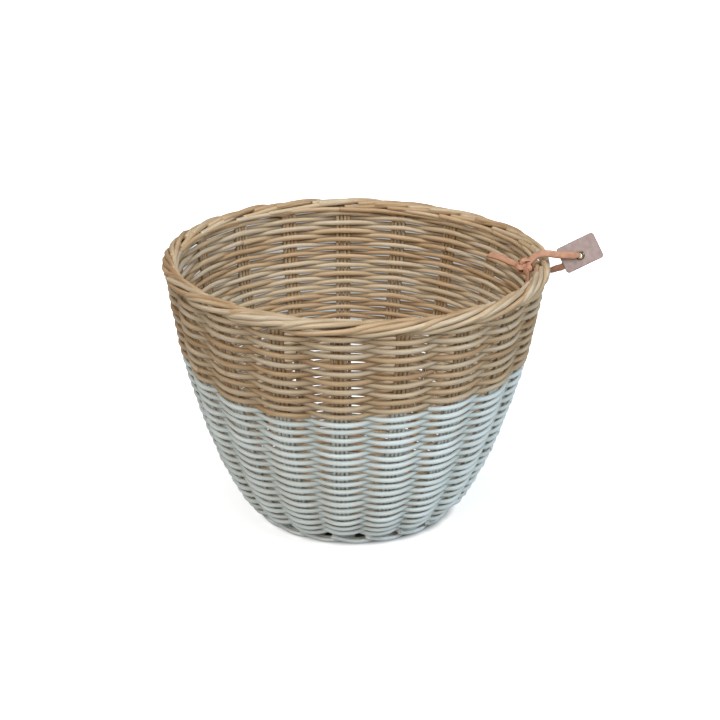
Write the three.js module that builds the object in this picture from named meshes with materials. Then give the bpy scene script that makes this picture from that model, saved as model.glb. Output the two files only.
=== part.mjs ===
import * as THREE from 'three';

// A round rattan storage basket with a leather tag on its rim.
// Millimetres and degrees. Z is up, the front faces -Y, and angles turn from the front towards +X.

// Rods and clearances
const ROD_DIAMETER = 3.4;
const CLEARANCE = 0.3;

// Stakes: groups of rods that start under the base, rise through the wall and end in the border
const STAKE_COUNT = 19;
const FIRST_STAKE_ANGLE = -5;
const STAKE_WIDTH_AT_FOOT = 6.8;
const STAKE_WIDTH_AT_RIM = 13.2;
const STAKE_EDGE_SHARE = 0.55;

// The middle of the stakes, from the base outwards and up
const STAKE_INNER_RADIUS = 44;
const BASE_LEVEL = 8;
const BASE_RADIUS = 85;
const CORNER_RADIUS = 12;
const CORNER_STEPS = 2;
const RIM_RADIUS = 155;
const WALL_HEIGHT = 202;
const WALL_FOOT_PULL = [34, 30];
const WALL_RIM_PULL = [-2, -22];
const WALL_STEPS = 7;

// Border: each stake bends over to one side, runs on behind the next stake's bend, is brought
// out in front of that stake and climbs over the rim to end on the inside
const BORDER_WIDTH = 12.4;
const BORDER_BEND_RADIUS = 9;
const BORDER_BEND_STEPS = 3;
const BORDER_CORE_HEIGHT = 13.4;
const BORDER_FLARE = 12.6;
const BORDER_WRAP = 4.4;
const BORDER_LIFT_FROM = 0.6;
const BORDER_LIFT_TO = 0.85;
const BORDER_END = 2.35;
const BORDER_RISE = 25.4;
const BORDER_EASE = 1.6;
const BORDER_CLIMB_STEPS = 7;

// The last row climbs as it winds, and the border is set down on it. It only stays up for a
// short way beyond the weaver's end, where the row under it starts a whole row lower.
const BORDER_SETTLES_FROM = 0.06;
const BORDER_SETTLES_TO = 0.2;
const STAKE_SETTLES_OVER = 24;

// Weavers: long rods that wind round the wall, in front of one stake and behind the next
const WEAVER_HEIGHT = 3.5;
const ROWS_IN_WALL = 52;
const FIRST_CROSSING = 4;
const ROWS_PER_WEAVER = 4;
const NATURAL_WEAVERS = 4;
const FIRST_ROW_ABOVE_CORNER = 3.5;
const LAST_ROW_BELOW_BORDER = 2.2;
const WEAVER_END_GAP = 0.04;
const ROWS_IN_BASE = 4;
const FIRST_BASE_ROW_RADIUS = 60.2;
const BASE_ROW_PITCH = 3.9;

// Base centre: crossed sticks under a coiled mat
const STICK_COUNT = 6;
const UPPER_STICK_LENGTH = 84;
const LOWER_STICK_LENGTH = 100;
const MAT_RIBS = 7;
const MAT_RIB_DEPTH = 1.2;
const MAT_SEGMENTS = 24;

// Foot border: rods laid round under the stakes, dipping to the floor between them
const FOOT_RADIUS = 81.5;
const FOOT_WIDTH = 8.6;
const FOOT_ROD = 4;
const FOOT_FLAT_SHARE = 0.34;
const FOOT_TOP_SHARE = 0.2;

// Leather lace: it passes over the rim and back under the border just before one stake.
// Each of its places is [out from the wall's top, sideways, up], and those that touch the
// border lean outwards with it.
const LACE_WIDTH = 5;
const LACE_THICKNESS = 2;
const LACE_STAKE = 5;
const LACE_BEFORE_STAKE = 12.5;
const LACE_OVER_STEPS = 4;
const LACE_OVER_END = 115;
const LACE_IN_HOLE_WIDTH = 3;
const LACE_IN_HOLE_THICKNESS = 1.5;
const LACE_STRAIGHT = 2.2;
const LACE_TURNED_IN = 1.6;
const LACE_SWING_GAP = 0.55;
const LACE_UNDER_BORDER = [[-10.2, 0, -1], [10.2, 0, -1]];
const LACE_RETURN = [[20, 5, 10.4], [12.4, 7.4, 9.6], [11, 6.6, 3.6], [13, 2.6, -3]];
const KNOT_PLACE = [-12.4, -2, 12.2];
const KNOT_SIZE = [14.4, 15.4, 13.6];
const UPPER_TAIL_WAY = [-0.8, 0.55, 0.25];
const UPPER_TAIL = [[-28, 6, 14.2], [-36.5, 13, 15.4], [-45, 21, 15.6]];
const LOWER_TAIL_WAY = [-0.1, -0.95, -0.3];
const LOWER_TAIL = [[-12, -14.6, 7.4], [-10.6, -18.4, 3.4], [-12, -21, -2.4]];

// Leather tag and its eyelet
const TAG_LENGTH = 33.3;
const TAG_WIDTH = 22.6;
const TAG_THICKNESS = 2.2;
const TAG_CORNER = 2;
const TAG_LEAN = 19.5;
const TAG_ROLL = 27.5;
const EYELET_PLACE = [33.5, 0, 22.6];
const EYELET_IN_TAG = [-1, -2];
const EYELET_FLANGE_RADIUS = 3.5;
const EYELET_BORE_RADIUS = 2.2;
const EYELET_WALL = 0.4;
const EYELET_FLANGE = 0.6;
const EYELET_SEGMENTS = 14;

const radians = THREE.MathUtils.degToRad;
const stakeTurn = 360 / STAKE_COUNT;
const stakeThickness = ROD_DIAMETER;

const natural = new THREE.MeshStandardMaterial({ color: 0xc8ab80, roughness: 0.7 });
const painted = new THREE.MeshStandardMaterial({ color: 0xd5dcda, roughness: 0.65 });
const lace = new THREE.MeshStandardMaterial({ color: 0xd99a78, roughness: 0.6 });
const leather = new THREE.MeshStandardMaterial({ color: 0xb49c9c, roughness: 0.6 });
const brass = new THREE.MeshStandardMaterial({ color: 0xa98f5c, roughness: 0.35, metalness: 1 });

const basket = new THREE.Group();
basket.name = 'storage_basket';

function add(name, geometry, material) {
  const mesh = new THREE.Mesh(geometry, material);
  mesh.name = name;
  basket.add(mesh);
  return mesh;
}

// A closed solid through rings of points, each ring with as many points as the others.
function loft(rings, endless = false) {
  const sides = rings[0].length;
  const positions = rings.flat().flatMap((point) => [point.x, point.y, point.z]);
  const faces = [];
  const spans = endless ? rings.length : rings.length - 1;
  for (let ring = 0; ring < spans; ring++) {
    const here = ring * sides;
    const next = ((ring + 1) % rings.length) * sides;
    for (let side = 0; side < sides; side++) {
      const after = (side + 1) % sides;
      faces.push(here + side, here + after, next + side);
      faces.push(here + after, next + after, next + side);
    }
  }
  if (!endless) {
    const last = (rings.length - 1) * sides;
    for (let side = 1; side < sides - 1; side++) {
      faces.push(0, side + 1, side);
      faces.push(last, last + side, last + side + 1);
    }
  }
  const geometry = new THREE.BufferGeometry();
  geometry.setAttribute('position', new THREE.Float32BufferAttribute(positions, 3));
  geometry.setIndex(volume(positions, faces) < 0 ? faces.toReversed() : faces);
  geometry.computeVertexNormals();
  return geometry;
}

function volume(positions, faces) {
  const corner = (index) => new THREE.Vector3().fromArray(positions, 3 * index);
  let total = 0;
  for (let face = 0; face < faces.length; face += 3) {
    const [a, b, c] = [faces[face], faces[face + 1], faces[face + 2]].map(corner);
    total += a.dot(b.cross(c));
  }
  return total / 6;
}

// A point at an angle round the basket's axis, moved sideways along the wall.
function around(angle, radius, height, sideways = 0) {
  const turn = radians(angle);
  return new THREE.Vector3(
    radius * Math.sin(turn) + sideways * Math.cos(turn),
    -radius * Math.cos(turn) + sideways * Math.sin(turn),
    height,
  );
}

// The skin is the surface through the middle of the stakes. Its outline runs from the
// stakes' inner ends, along the base, round the corner and up the wall into the border.
function skinOutline() {
  const foot = new THREE.Vector2(BASE_RADIUS, 0);
  const pull = new THREE.Vector2(...WALL_FOOT_PULL);
  const wallStart = pull.angle();
  foot.y = BASE_LEVEL + CORNER_RADIUS * (1 - Math.cos(wallStart));
  const top = new THREE.Vector2(RIM_RADIUS, foot.y + WALL_HEIGHT);
  const wall = new THREE.CubicBezierCurve(
    foot,
    foot.clone().add(pull),
    top.clone().add(new THREE.Vector2(...WALL_RIM_PULL)),
    top,
  );
  const points = [new THREE.Vector2(STAKE_INNER_RADIUS, BASE_LEVEL)];
  for (let step = 0; step < CORNER_STEPS; step++) {
    const turn = (wallStart * step) / CORNER_STEPS;
    points.push(new THREE.Vector2(
      BASE_RADIUS - CORNER_RADIUS * (Math.sin(wallStart) - Math.sin(turn)),
      BASE_LEVEL + CORNER_RADIUS * (1 - Math.cos(turn)),
    ));
  }
  const wallFrom = points.length;
  points.push(...wall.getSpacedPoints(WALL_STEPS));
  const wallTo = points.length - 1;
  const flare = radians(BORDER_FLARE);
  const core = new THREE.Vector2(Math.sin(flare), Math.cos(flare)).multiplyScalar(BORDER_CORE_HEIGHT);
  points.push(top.clone().add(core));
  let along = 0;
  const stations = points.map((point, index) => {
    const before = points[Math.max(index - 1, 0)];
    const after = points[Math.min(index + 1, points.length - 1)];
    along += index ? point.distanceTo(before) : 0;
    const into = point.clone().sub(before).normalize();
    const out = after.clone().sub(point).normalize();
    const heading = into.add(out).normalize();
    return { along, point, normal: new THREE.Vector2(heading.y, -heading.x) };
  });
  return { stations, wallFrom, wallTo };
}

const { stations, wallFrom, wallTo } = skinOutline();
const wallBottom = stations[wallFrom].along;
const wallTop = stations[wallTo].along;
const wallTopLevel = stations[wallTo].point.y;

const wallRowStart = wallBottom + FIRST_ROW_ABOVE_CORNER;
const wallRowEnd = wallTop - LAST_ROW_BELOW_BORDER;
const wallRowPitch = (wallRowEnd - wallRowStart) / ROWS_IN_WALL;

// The skin's outline at a distance along it: its point and its outward normal.
function outlineAt(along) {
  let index = stations.findIndex((station) => station.along > along) - 1;
  if (index < 0) index = along <= 0 ? 0 : stations.length - 2;
  const [a, b] = [stations[index], stations[index + 1]];
  const share = (along - a.along) / (b.along - a.along);
  return {
    point: a.point.clone().lerp(b.point, share),
    normal: a.normal.clone().lerp(b.normal, share),
  };
}

// A point on the skin, or a distance out from it.
function skin(angle, along, out = 0) {
  const { point, normal } = outlineAt(along);
  return around(angle, point.x + out * normal.x, point.y + out * normal.y);
}

const stakeAngle = (stake) => FIRST_STAKE_ANGLE + stake * stakeTurn;

// How far the border is set down at an angle.
function borderDrop(angle) {
  const { euclideanModulo, smoothstep } = THREE.MathUtils;
  const turn = euclideanModulo((angle - stakeAngle(FIRST_CROSSING)) / 360, 1);
  return wallRowPitch * (1 - turn) * smoothstep(turn, BORDER_SETTLES_FROM, BORDER_SETTLES_TO);
}

function stakeWidth(radius) {
  const share = (radius - STAKE_INNER_RADIUS) / (RIM_RADIUS - STAKE_INNER_RADIUS);
  return THREE.MathUtils.lerp(STAKE_WIDTH_AT_FOOT, STAKE_WIDTH_AT_RIM, share);
}

// A point on the border: up one side of its core, over the top and down the other side, at a
// distance from the core's middle.
function border(angle, up, out) {
  const over = Math.max(up - BORDER_CORE_HEIGHT, 0);
  const turn = Math.min(over / BORDER_WRAP, Math.PI);
  const down = Math.max(over - Math.PI * BORDER_WRAP, 0);
  const place = new THREE.Vector2(
    out * Math.cos(turn),
    Math.min(up, BORDER_CORE_HEIGHT) + out * Math.sin(turn) - down,
  );
  place.rotateAround(new THREE.Vector2(), -radians(BORDER_FLARE));
  return around(angle, RIM_RADIUS + place.x, wallTopLevel + place.y - borderDrop(angle));
}

// A section across a stake's rods, thinner at its edges. Its place is a distance sideways
// from the stake's foot and a distance up, and its rods head up at 90 degrees and sideways
// at 0. A lift brings it out of the wall to the border's outer layer.
function stakeSection(angle, { sideways = 0, along, width, heading = 90, lift = 0 }) {
  const turn = radians(heading);
  const face = (out) => [-1, 0, 1].map((column) => {
    const across = (column * width) / 2;
    const depth = (out * stakeThickness * (column ? STAKE_EDGE_SHARE : 1)) / 2;
    const up = along - across * Math.cos(turn);
    const radius = outlineAt(Math.min(along, wallTop)).point.x;
    const place = angle + (sideways + across * Math.sin(turn)) / radians(1) / radius;
    if (lift) return border(place, up - wallTop, lift * BORDER_WRAP + depth);
    const settled = THREE.MathUtils.smoothstep(up, wallTop - STAKE_SETTLES_OVER, wallTop);
    const point = skin(place, up, depth);
    point.z -= settled * borderDrop(place);
    return point;
  });
  return [...face(1), ...face(-1).toReversed()];
}

function stake(angle) {
  const rings = [];
  for (const { along, point } of stations.slice(0, wallTo)) {
    rings.push(stakeSection(angle, { along, width: stakeWidth(point.x) }));
  }
  const low = wallTop + BORDER_CORE_HEIGHT / 2;
  const bendFrom = low - BORDER_BEND_RADIUS;
  for (let step = 0; step <= BORDER_BEND_STEPS; step++) {
    const turned = (90 * step) / BORDER_BEND_STEPS;
    rings.push(stakeSection(angle, {
      sideways: BORDER_BEND_RADIUS * (1 - Math.cos(radians(turned))),
      along: bendFrom + BORDER_BEND_RADIUS * Math.sin(radians(turned)),
      width: BORDER_WIDTH,
      heading: 90 - turned,
    }));
  }
  const pitch = radians(stakeTurn) * RIM_RADIUS;
  const run = (stakes, lift, rise, heading) => rings.push(stakeSection(angle, {
    sideways: stakes * pitch,
    along: low + rise,
    width: BORDER_WIDTH,
    heading,
    lift,
  }));
  run(BORDER_LIFT_FROM, 0, 0, 0);
  const steepest = (BORDER_EASE * BORDER_RISE) / (BORDER_END - BORDER_LIFT_TO) / pitch;
  for (let step = 0; step <= BORDER_CLIMB_STEPS; step++) {
    const share = step / BORDER_CLIMB_STEPS;
    const rise = BORDER_RISE * (1 - (1 - share) ** BORDER_EASE);
    const slope = step ? steepest * (1 - share) ** (BORDER_EASE - 1) : 0;
    const heading = THREE.MathUtils.radToDeg(Math.atan(slope));
    run(THREE.MathUtils.lerp(BORDER_LIFT_TO, BORDER_END, share), 1, rise, heading);
  }
  return loft(rings);
}

// How far a weaver's middle stands from the skin where it passes a stake: drawn tight, it
// still clears the stake's edges on its way from one side of the wall to the other.
function weaverOffsets(along) {
  const { point, normal } = outlineAt(along);
  const spacing = point.x * Math.sin(radians(stakeTurn));
  const sag = point.x * (1 - Math.cos(radians(stakeTurn))) * normal.x;
  const share = stakeWidth(point.x) / 2 / spacing;
  const contact = stakeThickness / 2 + ROD_DIAMETER / 2 + CLEARANCE;
  const both = (2 * contact) / (1 - 2 * share);
  const even = contact + share * both;
  return { outside: even + share * sag, inside: -(even - share * sag) };
}

// A section of a weaver where it passes a stake: a rod with an edge up, out, down and in.
function weaverSection(crossing, along) {
  const angle = stakeAngle(crossing);
  const { outside, inside } = weaverOffsets(along);
  const out = crossing % 2 ? inside : outside;
  const { normal } = outlineAt(along);
  const up = new THREE.Vector2(-normal.y, normal.x).multiplyScalar(WEAVER_HEIGHT / 2);
  const middle = skin(angle, along, out);
  const rise = around(angle, up.x, up.y);
  const half = ROD_DIAMETER / 2;
  return [
    middle.clone().add(rise),
    skin(angle, along, out + half),
    middle.clone().sub(rise),
    skin(angle, along, out - half),
  ];
}

// A weaver from one crossing to another. Its ends stop just short of the next weaver's.
function weaver(first, last, alongOf) {
  const rings = [];
  for (let crossing = first; crossing <= last; crossing++) {
    rings.push(weaverSection(crossing, alongOf(crossing)));
  }
  const trim = (end, inner) => end.map((point, i) => point.clone().lerp(inner[i], WEAVER_END_GAP / 2));
  rings[0] = trim(rings[0], rings[1]);
  rings.push(trim(rings.pop(), rings.at(-1)));
  return loft(rings);
}

// The base's centre: sticks laid side by side.
function sticks(length, bottom) {
  const shape = new THREE.Shape();
  const half = (STICK_COUNT * ROD_DIAMETER) / 2;
  const groove = ROD_DIAMETER * 0.2;
  shape.moveTo(-half, groove);
  for (const side of [1, -1]) {
    for (let stick = 0; stick < STICK_COUNT; stick++) {
      const start = side * (stick * ROD_DIAMETER - half);
      const level = (height) => (side > 0 ? ROD_DIAMETER - height : height);
      shape.lineTo(start + side * ROD_DIAMETER * 0.3, level(0));
      shape.lineTo(start + side * ROD_DIAMETER * 0.7, level(0));
      shape.lineTo(start + side * ROD_DIAMETER, level(groove));
    }
  }
  const geometry = new THREE.ExtrudeGeometry(shape, { depth: length, bevelEnabled: false });
  geometry.translate(0, 0, -length / 2);
  geometry.rotateX(Math.PI / 2);
  geometry.translate(0, 0, bottom);
  return geometry;
}

// A coiled mat over the sticks, inside the first base row.
function mat(radius, bottom) {
  const points = [new THREE.Vector2(0, bottom), new THREE.Vector2(radius, bottom)];
  const rib = radius / MAT_RIBS;
  const top = bottom + ROD_DIAMETER;
  for (let ribs = MAT_RIBS; ribs > 0; ribs--) {
    points.push(new THREE.Vector2(ribs * rib, top - MAT_RIB_DEPTH));
    points.push(new THREE.Vector2((ribs - 0.5) * rib, top));
  }
  points.push(new THREE.Vector2(0, top - MAT_RIB_DEPTH));
  const geometry = new THREE.LatheGeometry(points, MAT_SEGMENTS);
  geometry.rotateX(Math.PI / 2);
  return geometry;
}

// The foot: under each stake it rises to meet it, and between two stakes it lies on the floor.
function foot() {
  const lift = BASE_LEVEL - stakeThickness / 2 - CLEARANCE - FOOT_ROD;
  const rings = [];
  for (let stakeIndex = 0; stakeIndex < STAKE_COUNT; stakeIndex++) {
    for (const [share, level] of [
      [-FOOT_TOP_SHARE / 2, lift],
      [FOOT_TOP_SHARE / 2, lift],
      [0.5 - FOOT_FLAT_SHARE / 2, 0],
      [0.5 + FOOT_FLAT_SHARE / 2, 0],
    ]) {
      const angle = stakeAngle(stakeIndex + share);
      const [inner, outer] = [FOOT_RADIUS - FOOT_WIDTH / 2, FOOT_RADIUS + FOOT_WIDTH / 2];
      rings.push([
        around(angle, inner, level),
        around(angle, outer, level),
        around(angle, outer, level + FOOT_ROD),
        around(angle, inner, level + FOOT_ROD),
      ]);
    }
  }
  return loft(rings, true);
}

// A flat lace through places, each with the way its face looks.
function strip(places) {
  const rings = places.map(({ at, face, width = LACE_WIDTH, thickness = LACE_THICKNESS }, index) => {
    const before = places[Math.max(index - 1, 0)].at;
    const after = places[Math.min(index + 1, places.length - 1)].at;
    const way = after.clone().sub(before).normalize();
    const across = way.clone().cross(face).normalize().multiplyScalar(width / 2);
    const thick = across.clone().cross(way).normalize().multiplyScalar(thickness / 2);
    return [[1, 1], [-1, 1], [-1, -1], [1, -1]].map(([side, level]) => (
      at.clone().addScaledVector(across, side).addScaledVector(thick, level)
    ));
  });
  return loft(rings);
}

// The place of the lace on the rim, and the ways out, sideways and up there.
const laceAngle = stakeAngle(LACE_STAKE) - LACE_BEFORE_STAKE / radians(1) / RIM_RADIUS;
const outwards = around(laceAngle, 1, 0);
const sideways = around(laceAngle, 0, 0, 1);
const upwards = new THREE.Vector3(0, 0, 1);
const atRim = ([out, side, up]) => around(laceAngle, RIM_RADIUS + out, wallTopLevel + up, side);

// The same places and ways for what leans outwards with the border.
const borderOut = outwards.clone().applyAxisAngle(sideways, radians(BORDER_FLARE));
const borderUp = upwards.clone().applyAxisAngle(sideways, radians(BORDER_FLARE));
const atBorder = ([out, side, up]) => atRim([0, side, 0])
  .addScaledVector(borderOut, out)
  .addScaledVector(borderUp, up);

// The tag's own axes: its face, along its length and across it.
const lean = radians(TAG_LEAN);
const tagFace = sideways.clone().multiplyScalar(-Math.cos(lean)).addScaledVector(upwards, Math.sin(lean));
const tagLevel = outwards.clone();
const tagLength = tagLevel.clone().applyAxisAngle(tagFace, radians(TAG_ROLL));
const tagAcross = tagFace.clone().cross(tagLength);
const eyeletPlace = atRim(EYELET_PLACE);

function tag() {
  const [x, y] = [TAG_LENGTH / 2, TAG_WIDTH / 2];
  const shape = new THREE.Shape();
  shape.moveTo(x, y - TAG_CORNER);
  shape.quadraticCurveTo(x, y, x - TAG_CORNER, y);
  shape.lineTo(TAG_CORNER - x, y);
  shape.quadraticCurveTo(-x, y, -x, y - TAG_CORNER);
  shape.lineTo(-x, TAG_CORNER - y);
  shape.quadraticCurveTo(-x, -y, TAG_CORNER - x, -y);
  shape.lineTo(x - TAG_CORNER, -y);
  shape.quadraticCurveTo(x, -y, x, TAG_CORNER - y);
  const hole = new THREE.Path();
  const holeRadius = EYELET_BORE_RADIUS + EYELET_WALL + CLEARANCE;
  hole.absarc(...EYELET_IN_TAG, holeRadius, 0, 2 * Math.PI, true);
  shape.holes.push(hole);
  const options = { depth: TAG_THICKNESS, bevelEnabled: false, curveSegments: EYELET_SEGMENTS / 2 };
  const geometry = new THREE.ExtrudeGeometry(shape, options);
  geometry.translate(-EYELET_IN_TAG[0], -EYELET_IN_TAG[1], -TAG_THICKNESS / 2);
  return geometry;
}

function eyelet() {
  const barrel = EYELET_BORE_RADIUS + EYELET_WALL;
  const seat = TAG_THICKNESS / 2 + CLEARANCE;
  const end = seat + EYELET_FLANGE;
  const geometry = new THREE.LatheGeometry([
    new THREE.Vector2(EYELET_BORE_RADIUS, -end),
    new THREE.Vector2(EYELET_FLANGE_RADIUS, -end),
    new THREE.Vector2(EYELET_FLANGE_RADIUS, -seat),
    new THREE.Vector2(barrel, -seat),
    new THREE.Vector2(barrel, seat),
    new THREE.Vector2(EYELET_FLANGE_RADIUS, seat),
    new THREE.Vector2(EYELET_FLANGE_RADIUS, end),
    new THREE.Vector2(EYELET_BORE_RADIUS, end),
    new THREE.Vector2(EYELET_BORE_RADIUS, -end),
  ], EYELET_SEGMENTS);
  geometry.rotateX(Math.PI / 2);
  return geometry;
}

// Turns a geometry made with its length along X and its face towards Z to lie as the tag does.
function asTag(geometry) {
  const axes = new THREE.Matrix4().makeBasis(tagLength, tagAcross, tagFace);
  return geometry.applyMatrix4(axes.setPosition(eyeletPlace));
}

// The part of the lace that lies over the rim, from the knot to the outside.
function laceOverRim() {
  const away = BORDER_WRAP + stakeThickness / 2 + CLEARANCE + LACE_THICKNESS / 2;
  const [, , knotUp] = KNOT_PLACE;
  const places = [{ at: atBorder([-away, 0, knotUp]), face: borderOut.clone().negate() }];
  for (let step = 0; step <= LACE_OVER_STEPS; step++) {
    const turn = radians(THREE.MathUtils.lerp(180, LACE_OVER_END, step / LACE_OVER_STEPS));
    const face = borderOut.clone().multiplyScalar(Math.cos(turn)).addScaledVector(borderUp, Math.sin(turn));
    const middle = atBorder([0, 0, BORDER_CORE_HEIGHT]);
    places.push({ at: middle.addScaledVector(face, away), face });
  }
  return places;
}

// The loop that carries the tag: out from the rim to the front of the eyelet, through it and
// back behind the tag to the foot of the border.
function laceLoop(start) {
  const rise = TAG_THICKNESS / 2 + 2 * CLEARANCE + EYELET_FLANGE + LACE_THICKNESS / 2;
  const near = (face, back) => (
    eyeletPlace.clone().addScaledVector(tagFace, face).addScaledVector(outwards, -back)
  );
  const narrow = { width: LACE_IN_HOLE_WIDTH, thickness: LACE_IN_HOLE_THICKNESS };
  const slant = tagFace.clone().add(upwards).normalize();
  const back = tagFace.clone().negate();
  const end = atBorder(LACE_UNDER_BORDER[1]).addScaledVector(borderOut, LACE_SWING_GAP);
  const from = start.at.clone().addScaledVector(start.way, CLEARANCE);
  const straight = from.clone().addScaledVector(start.way, LACE_STRAIGHT);
  return [
    { at: from, face: start.face },
    { at: straight, face: start.face },
    { at: straight.clone().lerp(near(rise, 18.5), 0.6), face: slant },
    { at: near(rise, 18.5), face: tagFace },
    { at: near(rise, 4), face: tagFace },
    { at: near(rise - 0.2, 1.6), face: tagFace.clone().addScaledVector(outwards, 0.6), ...narrow },
    { at: near(rise - 1.4, 0), face: outwards, ...narrow },
    { at: near(1.4 - rise, 0), face: outwards, ...narrow },
    { at: near(0.2 - rise, 1.6), face: back.clone().addScaledVector(outwards, 0.6), ...narrow },
    { at: near(-rise, 4), face: back },
    { at: atRim(LACE_RETURN[0]), face: back },
    { at: atRim(LACE_RETURN[1]), face: outwards },
    { at: atRim(LACE_RETURN[2]), face: outwards },
    { at: atRim(LACE_RETURN[3]), face: outwards.clone().sub(upwards) },
    { at: end.clone().addScaledVector(borderOut, LACE_TURNED_IN), face: borderUp.clone().negate() },
    { at: end, face: borderUp.clone().negate() },
  ];
}

// A tail of the lace, flat side up. It leaves the knot square to the knot's surface.
function tail(leaving, places) {
  const way = new THREE.Vector3(...leaving).normalize();
  const half = new THREE.Vector3(...KNOT_SIZE).divideScalar(2);
  const reach = way.clone().multiply(half);
  const surface = reach.clone().multiply(half).divideScalar(reach.length());
  const start = [CLEARANCE, CLEARANCE + LACE_STRAIGHT].map((gap) => (
    surface.clone().addScaledVector(way, gap).add(new THREE.Vector3(...KNOT_PLACE)).toArray()
  ));
  return strip([...start, ...places].map((place) => ({ at: atRim(place), face: upwards })));
}

for (let index = 0; index < STAKE_COUNT; index++) {
  add(`stake_${String(index + 1).padStart(2, '0')}`, stake(stakeAngle(index)), natural);
}

const baseRowStart = FIRST_BASE_ROW_RADIUS - STAKE_INNER_RADIUS;
const baseAlong = (crossing) => baseRowStart + (BASE_ROW_PITCH * crossing) / STAKE_COUNT;
add('base_weaver', weaver(0, (ROWS_IN_BASE - 1) * STAKE_COUNT, baseAlong), natural);

const wallAlong = (crossing) => (
  wallRowStart + (wallRowPitch * (crossing - FIRST_CROSSING)) / STAKE_COUNT
);
const weaverCount = ROWS_IN_WALL / ROWS_PER_WEAVER;
for (let index = 0; index < weaverCount; index++) {
  const first = FIRST_CROSSING + index * ROWS_PER_WEAVER * STAKE_COUNT;
  const last = first + ROWS_PER_WEAVER * STAKE_COUNT;
  const material = index < weaverCount - NATURAL_WEAVERS ? painted : natural;
  add(`weaver_${String(index + 1).padStart(2, '0')}`, weaver(first, last, wallAlong), material);
}

const stickLevel = BASE_LEVEL - stakeThickness / 2;
add('base_sticks_upper', sticks(UPPER_STICK_LENGTH, stickLevel), natural);
const lowerSticks = sticks(LOWER_STICK_LENGTH, stickLevel - CLEARANCE - ROD_DIAMETER);
lowerSticks.rotateZ(Math.PI / 2);
add('base_sticks_lower', lowerSticks, natural);
const matRadius = FIRST_BASE_ROW_RADIUS - WEAVER_HEIGHT / 2 - CLEARANCE;
add('base_mat', mat(matRadius, stickLevel + stakeThickness + CLEARANCE), natural);
add('foot_border', foot(), painted);

const over = laceOverRim();
const [beforeEnd, overEnd] = over.slice(-2);
const way = overEnd.at.clone().sub(beforeEnd.at).normalize();
add('lace_over_rim', strip(over), lace);
add('lace_loop', strip(laceLoop({ ...overEnd, way })), lace);
const underBorder = LACE_UNDER_BORDER.map((place) => ({ at: atBorder(place), face: borderUp }));
add('lace_under_border', strip(underBorder), lace);
add('lace_tail_upper', tail(UPPER_TAIL_WAY, UPPER_TAIL), lace);
add('lace_tail_lower', tail(LOWER_TAIL_WAY, LOWER_TAIL), lace);
const knot = new THREE.SphereGeometry(0.5, 10, 7);
knot.scale(...KNOT_SIZE);
knot.rotateZ(radians(laceAngle - 90));
knot.translate(...atRim(KNOT_PLACE));
add('lace_knot', knot, lace);
add('tag', asTag(tag()), leather);
add('eyelet', asTag(eyelet()), brass);

export default basket;
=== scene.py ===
import math

import bpy
import numpy as np
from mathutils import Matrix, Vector


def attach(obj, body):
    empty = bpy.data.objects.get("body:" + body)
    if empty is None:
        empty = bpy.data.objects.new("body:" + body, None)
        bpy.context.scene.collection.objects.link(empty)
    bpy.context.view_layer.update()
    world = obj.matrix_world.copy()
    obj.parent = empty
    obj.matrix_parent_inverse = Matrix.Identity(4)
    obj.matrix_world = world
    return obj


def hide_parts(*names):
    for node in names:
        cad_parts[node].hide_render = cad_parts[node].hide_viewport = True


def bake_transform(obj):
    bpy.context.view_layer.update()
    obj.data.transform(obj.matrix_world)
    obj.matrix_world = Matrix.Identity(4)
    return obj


# A round rattan storage basket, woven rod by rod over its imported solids.
# Lengths in this script are millimetres until a mesh is made. Z is up, the front faces -Y,
# and angles turn from the front towards +X, in degrees.

MM = 0.001

# Places that the solids have too
STAKE_COUNT = 19
FIRST_STAKE_ANGLE = -5.0
STAKE_INNER_RADIUS = 44.0
BASE_LEVEL = 8.0
BASE_RADIUS = 85.0
CORNER_RADIUS = 12.0
RIM_RADIUS = 155.0
WALL_HEIGHT = 202.0
WALL_FOOT_PULL = (34.0, 30.0)
WALL_RIM_PULL = (-2.0, -22.0)
BORDER_CORE_HEIGHT = 13.4
BORDER_FLARE = 12.6
BORDER_WRAP = 4.4
BORDER_SETTLES_FROM = 0.06
BORDER_SETTLES_TO = 0.2
STAKE_SETTLES_OVER = 24.0
ROWS_IN_WALL = 52
FIRST_CROSSING = 4
ROWS_PER_WEAVER = 4
FIRST_ROW_ABOVE_CORNER = 3.5
LAST_ROW_BELOW_BORDER = 2.2
FIRST_BASE_ROW_RADIUS = 60.2
BASE_ROW_PITCH = 3.9
FOOT_RADIUS = 81.5
STICK_DROP = 3.7
COIL_RISE = 3.9

# Rods: every rod is a ring of sides carried along a line, with bevelled ends
ROD_SIDES = 10
ROD_END_STANDS_OUT = 0.16
ROD_END_SHARE = 0.84
ROD_BEVEL_LOOKS_CUT = 0.3
GRAIN_ROUND = 1.7
GRAIN_APART = 1000

# Weavers. A crossing counts the stakes that the spiral of rows has passed: it passes the even ones outside
WEAVER_RADIUS = 2.1
WEAVER_DEPTH_SHARE = 0.9
WEAVER_SWELLS = 0.14
WEAVER_RADIUS_VARIES = 0.08
WEAVER_RADIUS_DRIFTS = 0.03
WEAVER_GAP = 0.9
WEAVER_TURNS = (0.9, 1.7)
WEAVER_END_STRAYS = 0.16
SHORTEST_LAST_TURN = 0.5
CROSSING_TOLERANCE = 1e-6
WEAVE_DEPTH = 2.9
WEAVE_TIGHTNESS = 0.9
WALL_STANDS_OUT = 1.1
SAG_BETWEEN_STAKES = 1.0
OUTSIDE_SINKS = 0.95
DEPTH_DRIFTS = 0.08
LEVEL_DRIFTS_AT_STAKES = 0.6
LEVEL_DRIFTS = 0.2
HELD_BETWEEN_STAKES = 0.85
SECTIONS_PER_STAKE = 12
ROWS_IN_BORDER = 2
LAST_CROSSING = FIRST_CROSSING + (ROWS_IN_WALL + ROWS_IN_BORDER) * STAKE_COUNT
TUCKED_CROSSINGS = 4
BASE_ROWS = 3
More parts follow.
